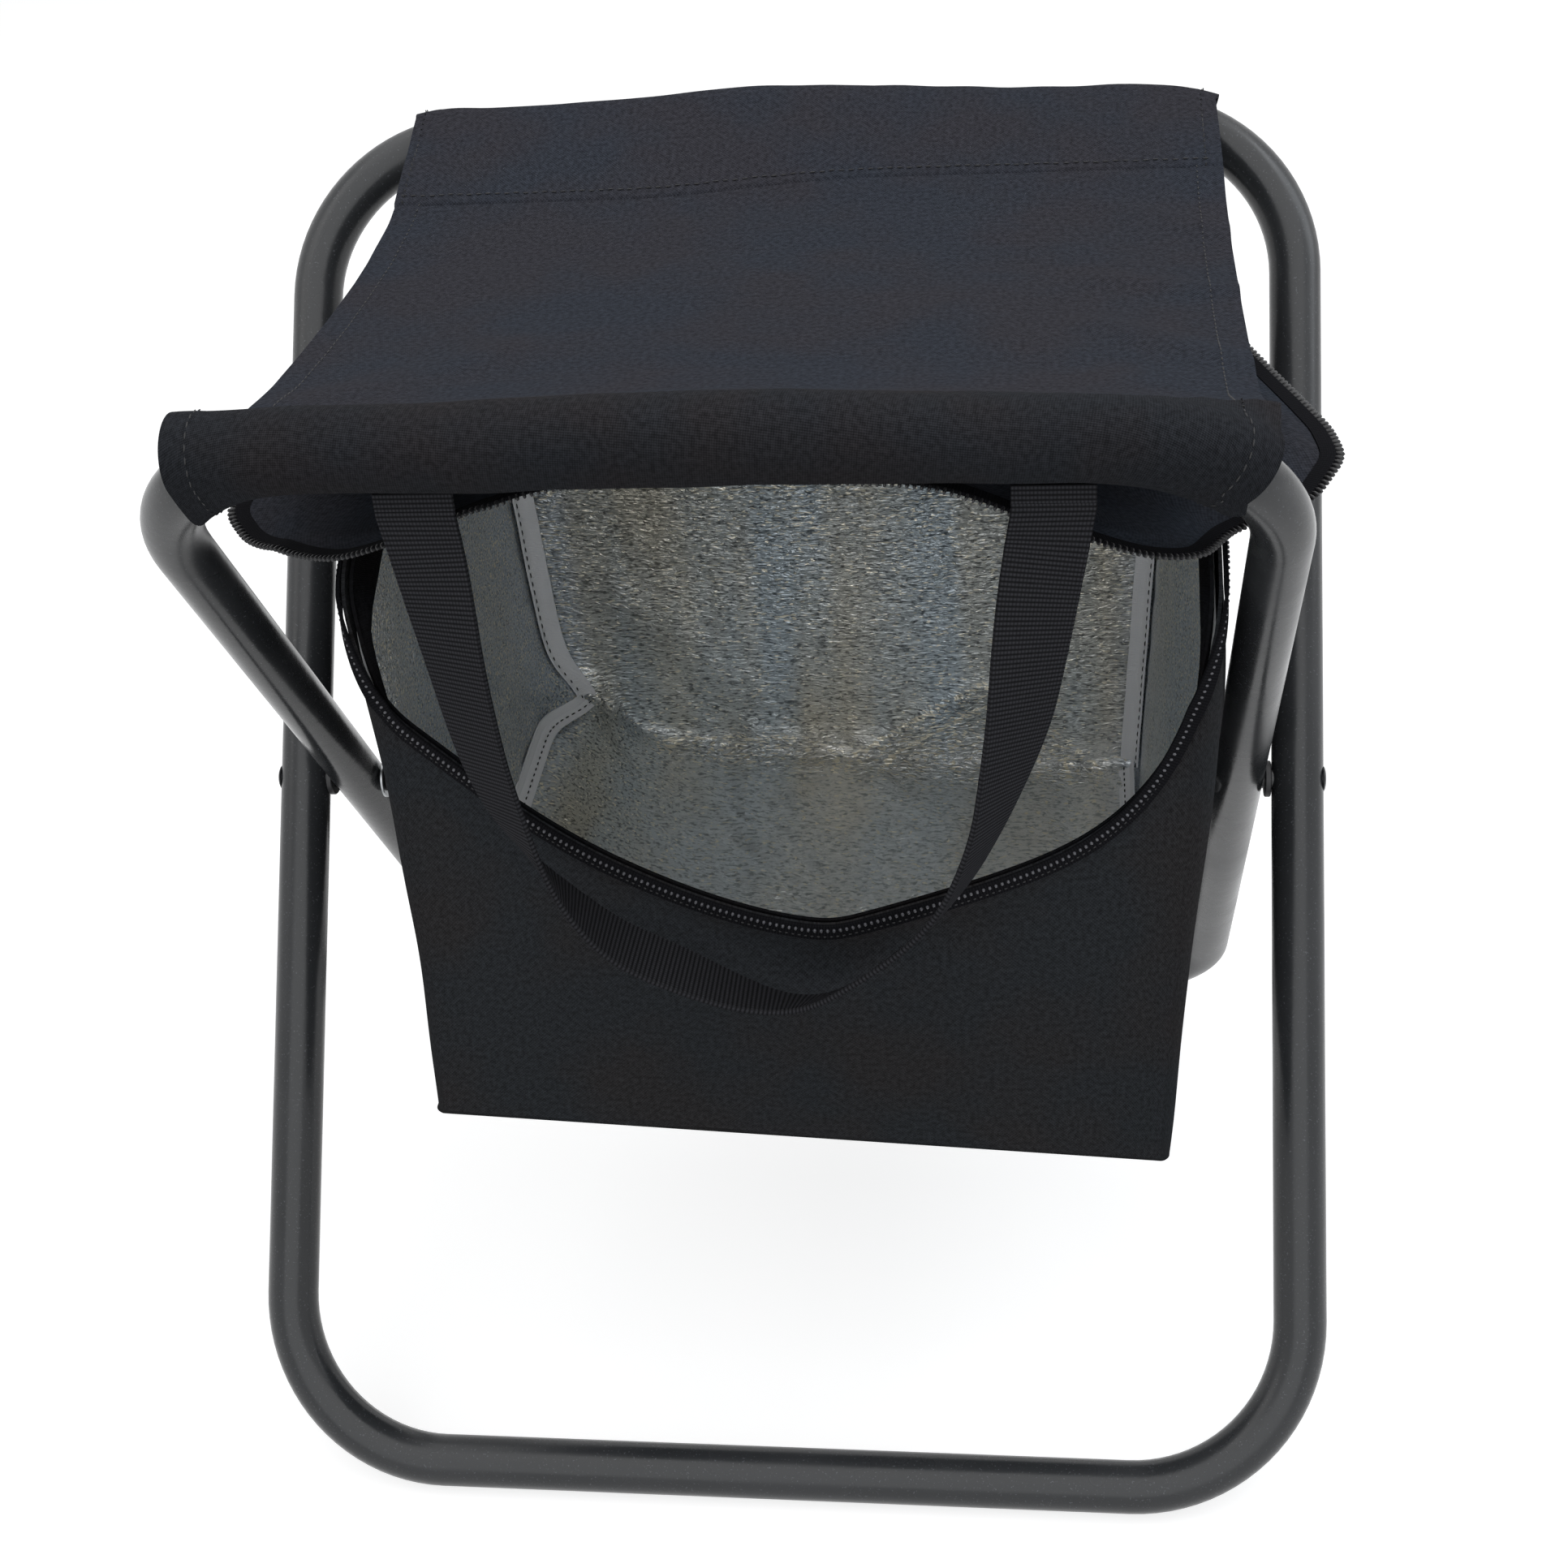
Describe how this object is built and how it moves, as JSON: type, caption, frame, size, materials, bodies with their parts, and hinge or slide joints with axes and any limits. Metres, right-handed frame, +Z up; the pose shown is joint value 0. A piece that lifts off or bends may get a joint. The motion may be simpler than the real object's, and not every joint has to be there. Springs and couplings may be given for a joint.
{
  "type": "folding cooler stool",
  "caption": "Folding stool with crossed tubular steel frames, a cloth seat, and an insulated zip bag with a carry strap hung open under the seat.",
  "frame": {"origin": "on the floor, midway between the two bottom bars and below the rivets", "axes": "+Z up; -Y towards the front, where the bag opens; +X to the right as seen from the front, along the line of the rivets"},
  "size_m": [0.341, 0.2787, 0.3665],
  "materials": {
    "steel_paint": "gloss black powder coat",
    "plain_steel": "zinc-plated",
    "black_nylon": "moulded nylon",
    "seat_fabric": "woven polyester, slightly bluish black",
    "bag_fabric": "woven polyester, black",
    "webbing": "ribbed webbing",
    "foam": "closed-cell foam sheet",
    "foil": "crinkled foil film",
    "grey_tape": "light grey binding tape",
    "zip_black": "coil zip and tape"
  },
  "bodies": {
    "outer_frame": {"outer_frame": "steel_paint", "outer_frame_spigot": "plain_steel", "pivot_rivet_left": "plain_steel", "pivot_rivet_right": "plain_steel", "spacer_washer_left": "black_nylon", "spacer_washer_right": "black_nylon", "tail_washer_left": "plain_steel", "tail_washer_right": "plain_steel", "rear_sleeve": "seat_fabric", "seat_panel": "seat_fabric", "lid_fabric": "bag_fabric", "lid_foam": "foam", "lid_foil": "foil", "lid_zip": "zip_black", "bag_fabric": "bag_fabric", "bag_foam": "foam", "bag_foil": "foil", "rim_facing": "bag_fabric", "bag_zip": "zip_black", "zip_slider": "plain_steel", "corner_tape_left": "grey_tape", "corner_tape_right": "grey_tape", "floor_tape_left": "grey_tape", "floor_tape_right": "grey_tape"},
    "inner_frame": {"inner_frame": "steel_paint", "inner_frame_spigot": "plain_steel", "front_sleeve": "bag_fabric", "handle_end_left": "webbing", "handle_end_right": "webbing"},
    "carry_handle": {"carry_handle": "webbing"},
    "zip_pull": {"zip_pull": "plain_steel"}
  },
  "joints": [
    {"name": "frame_fold", "type": "hinge", "parent": "outer_frame", "child": "inner_frame", "pos_m": [0, 0, 0.1845], "axis": [-1, 0, 0], "range_deg": [0, 65], "deforming": ["seat_panel", "front_sleeve", "rear_sleeve", "lid_fabric", "lid_foam", "lid_foil", "lid_zip", "bag_fabric", "bag_foam", "bag_foil", "rim_facing", "bag_zip", "corner_tape_left", "floor_tape_left", "corner_tape_right", "floor_tape_right"]},
    {"name": "handle_swing", "type": "hinge", "parent": "inner_frame", "child": "carry_handle", "pos_m": [0.009, -0.128, 0.3387], "axis": [-1, 0, 0], "range_deg": [0, 125]},
    {"name": "pull_swing", "type": "hinge", "parent": "outer_frame", "child": "zip_pull", "pos_m": [0.11445, 0.0957, 0.3337], "axis": [1, 0, 0], "range_deg": [0, 95]}
  ]
}
